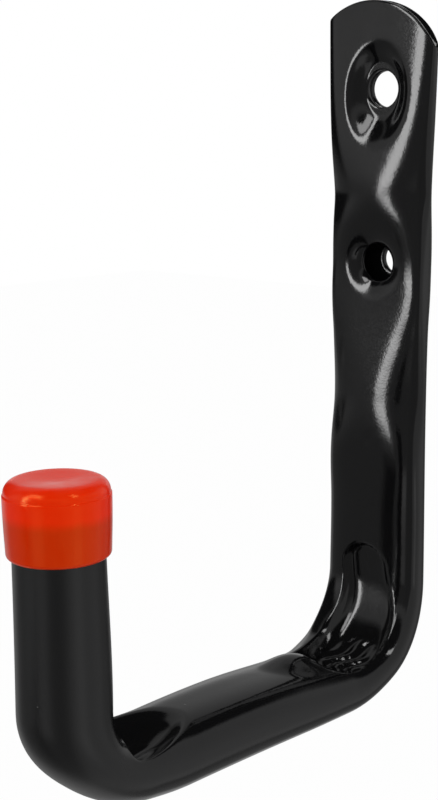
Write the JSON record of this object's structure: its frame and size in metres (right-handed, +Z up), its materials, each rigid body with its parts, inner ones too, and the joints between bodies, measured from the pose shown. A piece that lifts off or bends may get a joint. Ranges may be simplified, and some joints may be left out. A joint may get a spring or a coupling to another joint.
{
  "type": "garage utility hook",
  "caption": "J-shaped hook bent from one steel tube, pressed flat where it screws to a wall, dipped in black vinyl, with a soft orange cap on its free end.",
  "frame": {"origin": "on the wall plane, midway between the axes of the two screw holes", "axes": "+Z up along the wall leg, +Y into the wall, so the hook reaches towards -Y, and X across the leg"},
  "size_m": [0.0313, 0.1261, 0.1735],
  "materials": {
    "black_vinyl": "glossy dip coating over steel tube, satin on the front leg",
    "orange_vinyl": "glossy soft vinyl, slightly see-through"
  },
  "bodies": {
    "root": {"hook_tube": "black_vinyl", "end_cap": "orange_vinyl"}
  },
  "joints": []
}
